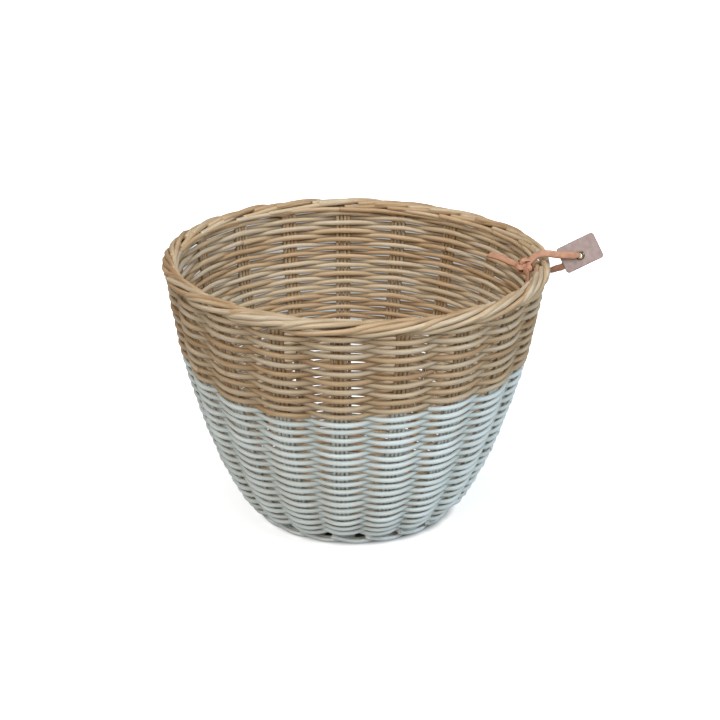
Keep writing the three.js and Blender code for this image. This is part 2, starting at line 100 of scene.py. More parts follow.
BASE_WEAVE_DEPTH = 3.3
CORNER_ROWS = 4
CORNER_WEAVE_DEPTH = 0.7
CORNER_STANDS_IN = 3.6

# Stakes
STAKE_RADIUS = 1.55
STAKE_RODS = 4
STAKE_SPACING_AT_FOOT = 2.9
STAKE_SPACING_AT_RIM = 3.4
STAKE_SECTIONS = 36
STAKE_RADIUS_VARIES = 0.05
STAKE_RADIUS_DRIFTS = 0.02
STAKE_RODS_DRIFT = 0.12
OUTER_RODS_START_UNDER_WALL = 6
OUTER_RODS_START_STRAYS = 2
STAKE_STEP = 2.6
# A stake stands out from the skin: how far up from the wall's foot and down from its top that takes
STAKE_STANDS_OUT_OVER = (30, 20)
BORDER_ROD_RADIUS = 2.2
BORDER_ROD_GROWS_OVER = 8
BORDER_RISES_OVER = 0.01
BORDER_LAST_STEP = 0.08
BORDER_STRETCHES = (0.96, 1.05)
BORDER_STRAYS_OVER = 0.4
BORDER_ROD_STRAYS = 0.35
BORDER_ROD_DRIFTS = 0.3
BORDER_DEPTH_STRAYS = 0.03

# The way of each of a stake's rods through the border: stakes passed, level, and share of the way out
BORDER_WAYS = (
    ((0.1, 11.6, 0.45), (0.2, 14.4, 0.95), (0.4, 17.6, 1.2), (0.65, 20.2, 1.22),
     (0.9, 22.0, 1.22), (1.4, 24.6, 1.2)),
    ((0.12, 8.8, -0.6), (0.3, 9.9, -0.8), (0.6, 10.5, -0.85), (1.0, 10.7, -0.95),
     (1.4, 11.1, -1.05), (2.2, 11.7, -1.05)),
    ((0.12, 10.4, 0.3), (0.28, 13.0, 0.9), (0.5, 15.2, 1.0), (0.75, 17.0, 1.0),
     (1.0, 18.9, 1.0), (1.25, 20.9, 1.0), (1.5, 22.9, 1.0), (1.8, 25.0, 1.0)),
    ((0.14, 9.0, 0.2), (0.32, 9.8, 0.8), (0.5, 10.7, 1.0), (0.75, 12.2, 1.0),
     (1.0, 14.0, 1.0), (1.25, 16.3, 1.0), (1.5, 18.8, 1.0), (1.75, 21.1, 1.0),
     (2.0, 23.2, 1.0), (2.3, 25.2, 1.0), (2.7, 26.8, 1.0), (3.4, 28.2, 0.95)),
)
BORDER_FIRST_LEVELS = (4.0, 7.2)
# Where each rod is cut, in stakes passed: the nearest and the furthest
BORDER_ENDS = ((1.15, 1.45), (1.85, 2.2), (1.5, 1.85), (2.95, 3.45))

# Foot border and the middle of the base
FOOT_ROD_RADIUS = 2.0
FOOT_RODS_THINNER_BY = 0.04
FOOT_RODS_APART = 3.7
FOOT_INNER_RODS_RISE = 0.3
FOOT_STEP = 2.2
# The way of a foot rod: stakes passed, distance out from the foot's radius, and level
FOOT_WAY = (
    (-0.34, 5.4, 8.2), (-0.16, 4.0, 5.6), (0.1, 3.0, 3.6), (0.34, 2.2, 2.15),
    (0.62, 1.4, 2.1), (0.88, 0.2, 3.2), (1.08, -1.6, 4.2), (1.3, -5.0, 4.4),
)
STICK_COUNT = 6
STICK_RADIUS = 1.7
STICKS_THINNER_BY = 0.01
STICK_SECTIONS = 12
STICK_WOBBLE = 0.15
UPPER_STICKS_LENGTH = 84.0
LOWER_STICKS_LENGTH = 100.0
COIL_RIBS = 17
COIL_START = 2
COIL_RADIUS = 57.0
COIL_PITCH = 3.7
COIL_ROD_RADIUS = 1.8
COIL_RIPPLE = 0.55
COIL_SECTIONS_PER_TURN = 72

# The woven basket isn't quite round: low down it is wider and leans left, and its rim slants down to the
# right. The widening grows from a level under the floor, and fades towards the rim and the base's middle.
LOW_SWELL = 2.6
SWELL_STARTS_UNDER_FLOOR = 12
SWELL_GROWS_OVER = 25
SWELL_FADES_OVER = 60
SWELL_SPREADS_OVER = 60
SWELL_SPARES_SHARE = 0.4
LOW_LEAN = 3.0
RIM_SLANT = 2.4

# Paint: it covers what faces outwards, up to a wavy line that is lowest in front
PAINT_LINE = 155.0
PAINT_DIPS = 11.5
PAINT_RISES_RIGHT = 4.5
PAINT_WAVE = 2.2
PAINT_FADE = 1.6
PAINT_REACHES_IN = 3.2
PAINT_THINS_OVER = 2.6
# Round a rod the paint thins as its surface turns away: how steeply, and how much is left half way round
PAINT_ROUND_ROD = (2.2, 1.0)
PAINT_ROUND_FOOT_ROD = (2.0, 1.2)
PAINT_COVERS_FROM = 0.38
PAINT_SHARPNESS = 6.0
PAINTED_ROUND_UNDER = 6.5
PAINTED_EDGE_UNDER = 12
PAINTED_EDGE_RADIUS = 79

# Shade between the rods, near the middle of the wall
SHADED_WITHIN = 4.4
SHADED_ABOVE = 12
SHADE_GROWS_OVER = 10

STAKE_TURN = 360.0 / STAKE_COUNT
rng = np.random.default_rng(7)

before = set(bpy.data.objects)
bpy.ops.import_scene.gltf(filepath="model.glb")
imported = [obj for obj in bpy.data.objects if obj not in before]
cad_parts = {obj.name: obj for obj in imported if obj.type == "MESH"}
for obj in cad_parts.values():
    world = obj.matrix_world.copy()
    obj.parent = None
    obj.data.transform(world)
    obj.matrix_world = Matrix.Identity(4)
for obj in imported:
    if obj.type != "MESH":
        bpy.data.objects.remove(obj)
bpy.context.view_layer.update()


def unit(v):
    """Vectors brought to a length of one."""
    return v / np.linalg.norm(v, axis=-1, keepdims=True)


def run_along(points):
    """The distance along a line to each of its points."""
    return np.concatenate([[0], np.cumsum(np.linalg.norm(np.diff(points, axis=0), axis=1))])


def eased(t):
    """A share from 0 to 1 that starts and ends slowly."""
    return t * t * (3 - 2 * t)


def around(angle, radius, height, sideways=0.0):
    """A point at an angle round the basket's middle line."""
    turn = np.radians(angle)
    return np.stack(np.broadcast_arrays(
        radius * np.sin(turn) + sideways * np.cos(turn),
        -radius * np.cos(turn) + sideways * np.sin(turn),
        height,
    ), -1)


def outline_of_skin():
    """The outline of the surface through the middle of the stakes: distances along it, points, normals."""
    wall_start = math.atan2(WALL_FOOT_PULL[1], WALL_FOOT_PULL[0])
    foot = np.array([BASE_RADIUS, BASE_LEVEL + CORNER_RADIUS * (1 - math.cos(wall_start))])
    top = foot + [RIM_RADIUS - BASE_RADIUS, WALL_HEIGHT]
    controls = [foot, foot + WALL_FOOT_PULL, top + WALL_RIM_PULL, top]
    points = [np.array([STAKE_INNER_RADIUS, BASE_LEVEL])]
    for turn in np.linspace(0, wall_start, 8)[:-1]:
        points.append(np.array([
            BASE_RADIUS - CORNER_RADIUS * (math.sin(wall_start) - math.sin(turn)),
            BASE_LEVEL + CORNER_RADIUS * (1 - math.cos(turn)),
        ]))
    wall_from = len(points)
    for t in np.linspace(0, 1, 60):
        weights = [(1 - t) ** 3, 3 * (1 - t) ** 2 * t, 3 * (1 - t) * t * t, t ** 3]
        points.append(sum(w * c for w, c in zip(weights, controls)))
    wall_to = len(points) - 1
    flare = math.radians(BORDER_FLARE)
    points.append(top + BORDER_CORE_HEIGHT * np.array([math.sin(flare), math.cos(flare)]))
    points = np.array(points)
    along = run_along(points)
    ways = unit(np.diff(points, axis=0))
    headings = unit(np.vstack([ways[:1], ways[:-1] + ways[1:], ways[-1:]]))
    normals = np.stack([headings[:, 1], -headings[:, 0]], -1)
    return along, points, normals, along[wall_from], along[wall_to], top[1]


ALONG, OUTLINE, NORMALS, WALL_BOTTOM, WALL_TOP, WALL_TOP_LEVEL = outline_of_skin()
WALL_ROW_START = WALL_BOTTOM + FIRST_ROW_ABOVE_CORNER
WALL_PITCH = (WALL_TOP - LAST_ROW_BELOW_BORDER - WALL_ROW_START) / ROWS_IN_WALL


def outline_at(along):
    """The skin's radius, level and normal at a distance along its outline."""
    radius, level = (np.interp(along, ALONG, OUTLINE[:, i]) for i in (0, 1))
    normal = np.stack([np.interp(along, ALONG, NORMALS[:, i]) for i in (0, 1)], -1)
    return radius, level, normal


def skin(angle, along, out=0.0):
    """A point on the skin, or a distance out from it."""
    radius, level, normal = outline_at(along)
    return around(angle, radius + out * normal[..., 0], level + out * normal[..., 1])


def border_drop(angle):
    """How far the border is set down on the last row at an angle."""
    turn = ((angle - FIRST_STAKE_ANGLE) / STAKE_TURN - FIRST_CROSSING) / STAKE_COUNT % 1.0
    t = np.clip((turn - BORDER_SETTLES_FROM) / (BORDER_SETTLES_TO - BORDER_SETTLES_FROM), 0, 1)
    return WALL_PITCH * (1 - turn) * eased(t)


def border(angle, up, out):
    """A point up one side of the border's core, over its top and down the other side."""
    over = np.maximum(up - BORDER_CORE_HEIGHT, 0)
    turn = np.minimum(over / BORDER_WRAP, math.pi)
    down = np.maximum(over - math.pi * BORDER_WRAP, 0)
    x = out * np.cos(turn)
    y = np.minimum(up, BORDER_CORE_HEIGHT) + out * np.sin(turn) - down
    flare = math.radians(BORDER_FLARE)
    radius = RIM_RADIUS + x * math.cos(flare) + y * math.sin(flare)
    level = WALL_TOP_LEVEL - x * math.sin(flare) + y * math.cos(flare)
    return around(angle, radius, level - border_drop(angle))


def stake_angle(stake):
    """The angle of a stake, or of a place between two."""
    return FIRST_STAKE_ANGLE + stake * STAKE_TURN


def drift(count, spacing, size):
    """A slow random wander along a rod, with one knot every few sections."""
    knots = max(int(count / spacing), 2) + 3
    values = rng.normal(0, size, knots)
    x = np.linspace(0, knots - 1, count)
    i = np.minimum(x.astype(int), knots - 2)
    t = eased(x - i)
    return values[i] * (1 - t) + values[i + 1] * t


def smooth_line(points, step):
    """The points of a Catmull-Rom line through points, about a step apart."""
    points = np.asarray(points, float)
    ends = np.vstack([2 * points[0] - points[1], points, 2 * points[-1] - points[-2]])
    line = []
    for a, b, c, d in zip(ends[:-3], ends[1:-2], ends[2:-1], ends[3:]):
        count = max(int(np.linalg.norm(c - b) / step), 1)
        for t in np.arange(count) / count:
            line.append(0.5 * (2 * b + (c - a) * t + (2 * a - 5 * b + 4 * c - d) * t * t
                               + (3 * b - a - 3 * c + d) * t ** 3))
    line.append(points[-1])
    return np.array(line)


def paint_line(angle):
    """The level of the paint's edge at an angle."""
    turn = np.radians(angle)
    return (PAINT_LINE - PAINT_DIPS * np.cos(turn) + PAINT_RISES_RIGHT * np.sin(turn)
            + PAINT_WAVE * np.sin(3 * turn + 0.8)
            + 0.5 * PAINT_WAVE * np.sin(7 * turn + 2.1)
            + 0.35 * PAINT_WAVE * np.sin(19 * turn + 0.4))


def handmade(points):
    """The points where the basket's own unevenness takes them."""
    radius = np.hypot(points[:, 0], points[:, 1])
    low = np.clip((points[:, 2] + SWELL_STARTS_UNDER_FLOOR) / SWELL_GROWS_OVER, 0, 1)
    low = low * np.clip((WALL_TOP_LEVEL - points[:, 2]) / SWELL_FADES_OVER, 0, 1)
    spread = np.clip(radius / SWELL_SPREADS_OVER - SWELL_SPARES_SHARE, 0, 1)
    wide = 1 + LOW_SWELL * low * spread / np.maximum(radius, 1)
    share = np.clip(points[:, 2] / WALL_TOP_LEVEL, 0, 1)
    return np.column_stack([
        points[:, 0] * wide - LOW_LEAN * (1 - share),
        points[:, 1] * wide,
        points[:, 2] - RIM_SLANT * share ** 2 * points[:, 0] / RIM_RADIUS,
    ])


def faces_between(count, sides, closed=False):
    """The faces between rings of points one after another; closed ones join the last ring to the first."""
    body = np.arange(count * sides).reshape(count, sides)
    a, b = (body, np.roll(body, -1, 0)) if closed else (body[:-1], body[1:])
    return np.stack([a, b, np.roll(b, -1, 1), np.roll(a, -1, 1)], -1).reshape(-1, 4)


def mesh_object(name, points, faces, material, attributes, flat=None):
    """A mesh object from points in millimetres, with the attributes that its material needs."""
    data = bpy.data.meshes.new(name)
    data.from_pydata((np.asarray(points) * MM).tolist(), [], faces)
    data.polygons.foreach_set("use_smooth", np.logical_not(np.zeros(len(faces)) if flat is None else flat))
    for label, values in attributes.items():
        values = np.asarray(values, np.float32)
        vector = values.ndim == 2
        attribute = data.attributes.new(label, "FLOAT_VECTOR" if vector else "FLOAT", "POINT")
        attribute.data.foreach_set("vector" if vector else "value", values.ravel())
    data.materials.append(material)
    data.update()
    thing = bpy.data.objects.new(name, data)
    bpy.context.scene.collection.objects.link(thing)
    return thing


class Rods:
    """Round rods gathered into one mesh, with what their material needs to know."""

    def __init__(self):
        self.points, self.faces, self.flat = [], [], []
        self.grain, self.rod, self.paint, self.cut, self.shade = [], [], [], [], []
        self.count = 0

    @staticmethod
    def side_ways(tangent, hint):
        """The way each section's first side faces: near the hint, or carried along without a twist."""
        if hint is not None:
            return unit(hint - tangent * np.sum(hint * tangent, 1, keepdims=True))
        ways = np.zeros_like(tangent)
        side = np.array([0.0, 0.0, 1.0]) if abs(tangent[0][2]) < 0.9 else np.array([1.0, 0.0, 0.0])
        for i, ahead in enumerate(tangent):
            side = side - ahead * (side @ ahead)
            side = side / np.linalg.norm(side)
            ways[i] = side
        return ways

    def add(self, line, radius, hint=None, painted=0.0, deep=1.0, tall=1.0):
        """A rod along a line.

        The hint says which way its depth lies, and painted is how far the paint reaches each section.
        Deep and tall are its size that way and across it, as shares of the radius.
        """
        count, sides = len(line), ROD_SIDES
        radius = np.broadcast_to(radius, (count,)).astype(float)
        tangent = unit(np.gradient(line, axis=0))
        ways = self.side_ways(tangent, hint)
        other = np.cross(tangent, ways)
        turn = 2 * math.pi * np.arange(sides) / sides
        deep, tall = (np.broadcast_to(share, (count,)).reshape(-1, 1, 1) for share in (deep, tall))
        dirs = (np.cos(turn)[None, :, None] * ways[:, None] * deep
                + np.sin(turn)[None, :, None] * other[:, None] * tall)
        shell = line[:, None] + dirs * radius[:, None, None]
        own = rng.random()
        start = self.count
        grain = np.stack(np.broadcast_arrays(
            (np.cos(turn) * GRAIN_ROUND)[None, :], (np.sin(turn) * GRAIN_ROUND)[None, :],
            run_along(line)[:, None] + GRAIN_APART * own), -1)
        rings = [shell.reshape(-1, 3)]
        grains = [grain.reshape(-1, 3)]
        normals = [dirs.reshape(-1, 3)]
        cuts = [np.zeros(count * sides)]
        faces = (faces_between(count, sides)[:, [0, 3, 2, 1]] + start).tolist()
        flat = [False] * len(faces)
        extra = count * sides
        for end, ring, away in ((0, shell[0], -tangent[0]), (count - 1, shell[-1], tangent[-1])):
            middle = line[end] + away * ROD_END_STANDS_OUT
            inner = middle + (ring - line[end]) * ROD_END_SHARE
            rings.append(np.vstack([inner, inner, [middle]]))
            grains.append(np.tile(grain[end][0], (2 * sides + 1, 1)) + np.vstack([
                (inner - middle), (inner - middle), [[0, 0, 0]]]))
            normals.append(np.vstack([dirs[end], np.tile(away, (sides + 1, 1))]))
            cuts.append(np.concatenate([np.full(sides, ROD_BEVEL_LOOKS_CUT), np.ones(sides + 1)]))
            first = start + extra
            edge = start + end * sides
            for side in range(sides):
                after = (side + 1) % sides
                bevel = [edge + side, edge + after, first + after, first + side]
                cap = [first + sides + side, first + sides + after, first + 2 * sides]
                if end == 0:
                    bevel.reverse()
                    cap.reverse()
                faces += [bevel, cap]
                flat += [False, True]
            extra += 2 * sides + 1
        points = np.vstack(rings)
        normals = unit(np.vstack(normals))
        self.points.append(points)
        self.grain.append(np.vstack(grains))
        self.rod.append(np.full(len(points), own))
        self.cut.append(np.concatenate(cuts))
        painted = np.broadcast_to(painted, (count,))
        painted = np.concatenate([np.repeat(painted, sides), np.repeat(painted[[0, -1]], 2 * sides + 1)])
        self.paint.append(painted * self.facing_out(points, normals))
        depth = np.abs(self.out_from_skin(points)[0] - WALL_STANDS_OUT)
        above_base = np.clip((points[:, 2] - SHADED_ABOVE) / SHADE_GROWS_OVER, 0, 1)
        self.shade.append(np.clip(1 - depth / SHADED_WITHIN, 0, 1) * above_base)
        self.faces += faces
        self.flat += flat
        self.count += len(points)

    @staticmethod
    def out_from_skin(points):
        """How far points stand out from the skin, and the outward and upward shares of its normal there."""
        radius = np.hypot(points[:, 0], points[:, 1])
        slope, rise = (np.interp(points[:, 2], OUTLINE[:, 1], NORMALS[:, i]) for i in (0, 1))
        return (radius - np.interp(points[:, 2], OUTLINE[:, 1], OUTLINE[:, 0])) * slope, slope, rise

    def facing_out(self, points, normals):
        """Where paint from outside lands: on what faces outwards and is near the wall's outside."""
        radial = unit(points * [1, 1, 0])
        depth, slope, rise = self.out_from_skin(points)
        outward = np.stack([radial[:, 0] * slope, radial[:, 1] * slope, rise], -1)
        steep, sideways = PAINT_ROUND_ROD
        facing = np.clip(np.sum(normals * outward, 1) * steep + sideways, 0, 1)
        reach = np.clip((depth + PAINT_REACHES_IN) / PAINT_THINS_OVER, 0, 1)
        radius = np.hypot(points[:, 0], points[:, 1])
        edge = (points[:, 2] < PAINTED_EDGE_UNDER) & (radius > PAINTED_EDGE_RADIUS)
        low = (points[:, 2] < PAINTED_ROUND_UNDER) | edge
        reach = np.where(low, 1.0, reach)
        steep, sideways = PAINT_ROUND_FOOT_ROD
        facing = np.where(low, np.clip(np.sum(normals * radial, 1) * steep + sideways, 0, 1), facing)
        return facing * reach

    def finish(self, name, node):
        """The rods as one piece of the basket, in place of a node."""
        thing = mesh_object(name, handmade(np.vstack(self.points)), self.faces, RATTAN, {
            "grain": np.vstack(self.grain),
            "rod": np.concatenate(self.rod),
            "paint": np.concatenate(self.paint),
            "cut": np.concatenate(self.cut),
            "shade": np.concatenate(self.shade),
        }, self.flat)
        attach(thing, "basket")
        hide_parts(node)


class Nodes:
    """A few lines of help for writing a material's nodes."""

    def __init__(self, name):
        self.material = bpy.data.materials.new(name)
        self.material.use_nodes = True
        self.tree = self.material.node_tree
        self.shader = self.tree.nodes["Principled BSDF"]

    def node(self, kind, inputs=(), **settings):
        made = self.tree.nodes.new(kind)
        for key, value in settings.items():
            setattr(made, key, value)
        for key, value in dict(inputs).items():
            if hasattr(value, "is_linked"):
                self.tree.links.new(value, made.inputs[key])
            else:
                made.inputs[key].default_value = value
        return made

    def attribute(self, name, vector=False):
        made = self.node("ShaderNodeAttribute", attribute_name=name)
        return made.outputs["Vector" if vector else "Fac"]

    def math(self, operation, *values, clamp=False):
        made = self.node("ShaderNodeMath", dict(enumerate(values)), operation=operation, use_clamp=clamp)
        return made.outputs[0]

    def rise(self, value, start, steepness):
        """A share: 0 up to the start, then rising to 1. A negative steepness turns it round."""
        return self.math("MULTIPLY", self.math("SUBTRACT", value, start), steepness, clamp=True)

    def noise(self, vector, scale, detail=2.0, roughness=0.5):
        made = self.node("ShaderNodeTexNoise", {
            "Vector": vector, "Scale": scale, "Detail": detail, "Roughness": roughness})
        return made.outputs["Fac"]

    def stretch(self, vector, scale):
        return self.node("ShaderNodeMapping", {"Vector": vector, "Scale": scale}).outputs["Vector"]

    def ramp(self, value, stops):
        made = self.node("ShaderNodeValToRGB", {"Fac": value})
        elements = made.color_ramp.elements
        while len(elements) < len(stops):
            elements.new(0.5)
        for element, (place, colour) in zip(elements, stops):
            element.position = place
            element.color = (*colour, 1)
        return made.outputs["Color"]

    def mix(self, share, a, b, blend="MIX"):
        made = self.node("ShaderNodeMix", data_type="RGBA", blend_type=blend)
        for key, value in ((0, share), (6, a), (7, b)):
            if hasattr(value, "is_linked"):
                self.tree.links.new(value, made.inputs[key])
            else:
                made.inputs[key].default_value = value if key == 0 else (*value, 1)
        return made.outputs[2]

    def bump(self, height, distance, strength=1.0):
        made = self.node("ShaderNodeBump", {"Height": height, "Distance": distance, "Strength": strength})
        self.tree.links.new(made.outputs["Normal"], self.shader.inputs["Normal"])

    def link(self, value, name):
        self.tree.links.new(value, self.shader.inputs[name])


def rattan_material():
    """Bare rattan with fibres along the rod, and paint where the mesh says."""
    n = Nodes("rattan")
    grain = n.attribute("grain", vector=True)
    rod = n.attribute("rod")
    fibres = n.noise(n.stretch(grain, (2.4, 2.4, 0.06)), 1.0, 3.0, 0.6)
    blotches = n.noise(n.stretch(grain, (0.25, 0.25, 0.03)), 1.0, 2.0)
    tone = n.math("ADD", n.math("MULTIPLY", rod, 0.6), n.math("MULTIPLY", blotches, 0.6))
    bare = n.ramp(tone, [
        (0.25, (0.42, 0.265, 0.14)),
        (0.5, (0.54, 0.375, 0.22)),
        (0.72, (0.575, 0.44, 0.29)),
        (0.95, (0.60, 0.49, 0.36)),
    ])
    shade = n.ramp(fibres, [(0.3, (0.74, 0.71, 0.66)), (0.55, (1, 1, 1)), (0.8, (1.08, 1.08, 1.07))])
    bare = n.mix(1.0, bare, shade, "MULTIPLY")
    cut = n.attribute("cut")
    bare = n.mix(n.math("MULTIPLY", cut, 0.7), bare, (0.66, 0.52, 0.34))
    paint = n.ramp(tone, [(0.3, (0.71, 0.755, 0.735)), (0.9, (0.765, 0.815, 0.81))])
    paint_shade = n.ramp(fibres, [(0.28, (0.9, 0.9, 0.88)), (0.5, (1, 1, 1))])
    paint = n.mix(1.0, paint, paint_shade, "MULTIPLY")
    ragged = n.math("MULTIPLY", n.math("SUBTRACT", fibres, 0.5), 0.9)
    edge = n.math("SUBTRACT", n.attribute("paint"), ragged)
    covered = n.rise(edge, PAINT_COVERS_FROM, PAINT_SHARPNESS)
    colour = n.mix(covered, bare, paint)
    tint = n.mix(covered, (0.72, 0.67, 0.61), (0.68, 0.68, 0.65))
    n.link(n.mix(n.attribute("shade"), colour, n.mix(1.0, colour, tint, "MULTIPLY")), "Base Color")
    n.link(n.math("ADD", n.math("MULTIPLY", fibres, 0.25), 0.36), "Roughness")
    n.shader.inputs["Specular IOR Level"].default_value = 0.4
    n.bump(fibres, 0.00025, 0.6)
    return n.material


RATTAN = rattan_material()


# Weavers

def weave(rods, first, last, along_of, depth=WEAVE_DEPTH, mean=WALL_STANDS_OUT, painted=True):
    """Rods laid end to end from one crossing to another, in front of one stake and behind the next."""
    at = float(first)
    while at < last - CROSSING_TOLERANCE:
        length = rng.uniform(*WEAVER_TURNS) * STAKE_COUNT
        end = round(at + length) + rng.uniform(-WEAVER_END_STRAYS, WEAVER_END_STRAYS)
        if last - end < SHORTEST_LAST_TURN * STAKE_COUNT:
            end = float(last)
        count = int((end - at) * SECTIONS_PER_STAKE) + 1
        crossing = np.linspace(at, end, count)
        wave = np.tanh(WEAVE_TIGHTNESS * np.cos(math.pi * crossing)) / math.tanh(WEAVE_TIGHTNESS)
        between = np.sin(math.pi * crossing) ** 2
        along = along_of(crossing)
        radius, _, normal = outline_at(along)
        sag = SAG_BETWEEN_STAKES * between * radius / RIM_RADIUS
        tight = 1 + drift(count, SECTIONS_PER_STAKE, DEPTH_DRIFTS)
        out = mean + depth * wave * tight - sag
        slack = 1 - HELD_BETWEEN_STAKES * between
        along = along + slack * drift(count, SECTIONS_PER_STAKE, LEVEL_DRIFTS_AT_STAKES)
        along = along + drift(count, 3 * SECTIONS_PER_STAKE, LEVEL_DRIFTS) - OUTSIDE_SINKS * wave
        angle = stake_angle(crossing)
        line = skin(angle, along, out)
        thick = 1 + rng.uniform(-WEAVER_RADIUS_VARIES, WEAVER_RADIUS_VARIES)
        thick = WEAVER_RADIUS * thick * (1 + drift(count, 30, WEAVER_RADIUS_DRIFTS))
        hint = around(angle, normal[:, 0], normal[:, 1])
        nearest = np.round(crossing)
        below = paint_line(stake_angle(nearest)) > outline_at(along_of(nearest))[1]
        rods.add(line, thick, hint=hint, painted=painted * below, deep=WEAVER_DEPTH_SHARE,
                 tall=1 + WEAVER_SWELLS * (1 - between))
        at = end + WEAVER_GAP / radius[-1] / math.radians(STAKE_TURN)


def wall_row(crossing):
    """How far up the wall the weave is: past its last full row it stays under the settling border."""
    past = np.maximum(crossing - LAST_CROSSING, 0)
    settled = np.where(past > 0, border_drop(stake_angle(crossing)), 0)
    return WALL_ROW_START + WALL_PITCH * (crossing - past - FIRST_CROSSING) / STAKE_COUNT - settled


def base_row(crossing):
    """How far out along the base the weave is."""
    return FIRST_BASE_ROW_RADIUS - STAKE_INNER_RADIUS + BASE_ROW_PITCH * crossing / STAKE_COUNT


weaver_count = ROWS_IN_WALL // ROWS_PER_WEAVER
for index in range(weaver_count):
    first = FIRST_CROSSING + index * ROWS_PER_WEAVER * STAKE_COUNT
    last = first + ROWS_PER_WEAVER * STAKE_COUNT
    if index == weaver_count - 1:
        last = LAST_CROSSING + TUCKED_CROSSINGS
    rods = Rods()
    weave(rods, first, last, wall_row)
    rods.finish(f"weave_{index + 1:02d}", f"weaver_{index + 1:02d}")

rods = Rods()
corner_start = BASE_ROWS * STAKE_COUNT
weave(rods, 0, corner_start, base_row, BASE_WEAVE_DEPTH, 0.0)
weave(rods, corner_start, corner_start + CORNER_ROWS * STAKE_COUNT, base_row,
      CORNER_WEAVE_DEPTH, -CORNER_STANDS_IN, painted=False)
rods.finish("base_weave", "base_weaver")


# Stakes and the border

def stake_line(stake, rod):
    """The line of one rod of a stake's group, from the base through the wall and the border."""
    column = rod - (STAKE_RODS - 1) / 2
    angle = stake_angle(stake)
    outer = abs(column) > 1
    start = 0.0
    if outer:
        start = WALL_BOTTOM - OUTER_RODS_START_UNDER_WALL
        start += rng.uniform(-OUTER_RODS_START_STRAYS, OUTER_RODS_START_STRAYS)
    along = np.linspace(start, WALL_TOP + 1, STAKE_SECTIONS)
    radius, _, _ = outline_at(along)
    share = (radius - STAKE_INNER_RADIUS) / (RIM_RADIUS - STAKE_INNER_RADIUS)
    across = column * (STAKE_SPACING_AT_FOOT + (STAKE_SPACING_AT_RIM - STAKE_SPACING_AT_FOOT) * share)
    across = across + drift(len(along), 5, STAKE_RODS_DRIFT)
    stands_out = WALL_STANDS_OUT * np.clip((along - WALL_BOTTOM) / STAKE_STANDS_OUT_OVER[0], 0, 1)
    stands_out = stands_out * np.clip((WALL_TOP - along) / STAKE_STANDS_OUT_OVER[1], 0, 1)
    points = skin(angle + np.degrees(across / radius), along, stands_out)
    settled = np.clip((along - WALL_TOP + STAKE_SETTLES_OVER) / STAKE_SETTLES_OVER, 0, 1)
    points[:, 2] -= settled * border_drop(angle)
    points = list(points)
    passed, level, out = zip(*BORDER_WAYS[rod])
    beside = across[-1] / math.radians(STAKE_TURN) / RIM_RADIUS
    stretched = [share * rng.uniform(*BORDER_STRETCHES) for share in passed]
    passed = (beside, beside + BORDER_RISES_OVER, *stretched)
    level = (*BORDER_FIRST_LEVELS, *level)
    out = (0.0, 0.0, *out)
    end = rng.uniform(*BORDER_ENDS[rod])
    steps = np.array([step for step in passed if step < end - BORDER_LAST_STEP] + [end])
    stray = rng.normal(0, BORDER_ROD_STRAYS) + drift(len(steps), 3, BORDER_ROD_DRIFTS)
    stray = np.clip(steps / BORDER_STRAYS_OVER, 0, 1) * stray
    height = np.interp(steps, passed, level) + stray
    depth = BORDER_WRAP * np.interp(steps, passed, out) * (1 + rng.normal(0, BORDER_DEPTH_STRAYS))
    points += list(border(angle + steps * STAKE_TURN, height, depth))
    return smooth_line(points, STAKE_STEP)


for stake in range(STAKE_COUNT):
    rods = Rods()
    for rod in range(STAKE_RODS):
        line = stake_line(stake, rod)
        top = np.clip((line[:, 2] - WALL_TOP_LEVEL) / BORDER_ROD_GROWS_OVER, 0, 1)
        thick = STAKE_RADIUS + (BORDER_ROD_RADIUS - STAKE_RADIUS) * top
        thick = thick * (1 + rng.uniform(-STAKE_RADIUS_VARIES, STAKE_RADIUS_VARIES))
        thick = thick * (1 + drift(len(line), 20, STAKE_RADIUS_DRIFTS))
        bearing = np.degrees(np.arctan2(line[:, 0], -line[:, 1]))
        below = np.clip((paint_line(bearing) - line[:, 2]) / PAINT_FADE + 0.5, 0, 1)
        rods.add(line, thick, painted=below)
    rods.finish(f"stake_rods_{stake + 1:02d}", f"stake_{stake + 1:02d}")


# Foot border: from each stake two rods dip to the floor and pass under the next stake

rods = Rods()
for stake in range(STAKE_COUNT):
    for inner in (0, 1):
        points = [
            around(stake_angle(stake + passed), FOOT_RADIUS + out - inner * FOOT_RODS_APART,
                   level + inner * FOOT_INNER_RODS_RISE)
            for passed, out, level in FOOT_WAY
        ]
        line = smooth_line(points, FOOT_STEP)
        line[:, 2] = np.maximum(line[:, 2], FOOT_ROD_RADIUS)
        rods.add(line, FOOT_ROD_RADIUS * (1 + rng.uniform(-FOOT_RODS_THINNER_BY, 0)), painted=1.0)
rods.finish("foot_rods", "foot_border")


# Base centre: crossed sticks and a coil woven over them

for name, length, level, crosswise in (
    ("base_sticks_upper", UPPER_STICKS_LENGTH, BASE_LEVEL, False),
    ("base_sticks_lower", LOWER_STICKS_LENGTH, BASE_LEVEL - STICK_DROP, True),
):
    rods = Rods()
    for stick in range(STICK_COUNT):
        across = (stick - (STICK_COUNT - 1) / 2) * 2 * STICK_RADIUS
        t = np.linspace(-length / 2, length / 2, STICK_SECTIONS)
        wobble = drift(STICK_SECTIONS, 4, STICK_WOBBLE)
        flat = np.stack([t, across + wobble, np.full(STICK_SECTIONS, level)], -1)
        line = flat if crosswise else flat[:, [1, 0, 2]]
        rods.add(line, STICK_RADIUS * (1 - STICKS_THINNER_BY * rng.random()))
    rods.finish(name.replace("base_sticks", "crossed_sticks"), name)

